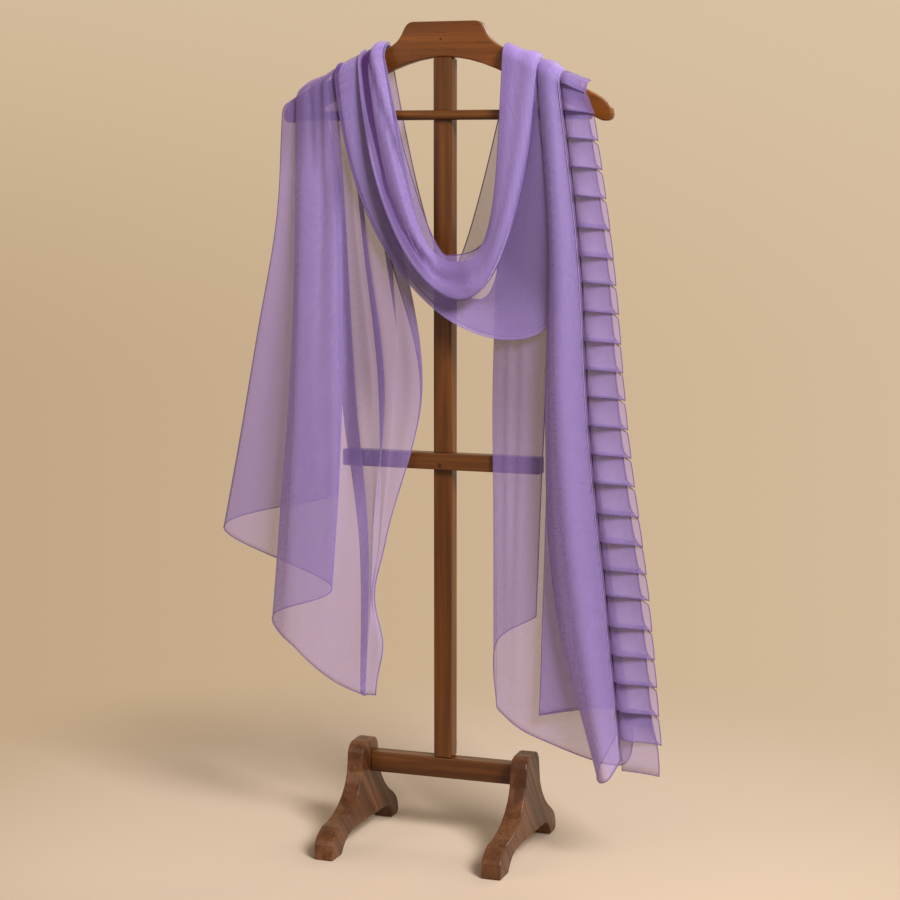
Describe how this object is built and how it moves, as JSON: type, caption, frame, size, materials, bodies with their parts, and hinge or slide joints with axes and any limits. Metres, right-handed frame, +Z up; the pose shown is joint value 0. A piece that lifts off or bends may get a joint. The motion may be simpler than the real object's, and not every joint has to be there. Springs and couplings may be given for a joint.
{
  "type": "organza stole on a wooden valet stand",
  "caption": "Long organza stole with a knife-pleated ruffle, wound round a wooden valet stand with a shaped hanger and feet.",
  "frame": {"origin": "on the floor, under the middle of the whole part's box", "axes": "+Z up, X along the hanger board, the front of the stand faces -Y"},
  "size_m": [0.6501, 0.247, 1.132],
  "materials": {
    "wood": "walnut-stained, satin lacquer",
    "organza": "sheer lilac organza with a soft sheen"
  },
  "bodies": {
    "root": {"post": "wood", "hanger_board": "wood", "upper_rod": "wood", "trouser_bar": "wood", "base_bar": "wood", "foot_left": "wood", "foot_right": "wood", "left_end": "organza", "neck_loop": "organza", "front_swag": "organza", "back_pass": "organza", "right_end": "organza", "pleated_ruffle": "organza"}
  },
  "joints": []
}
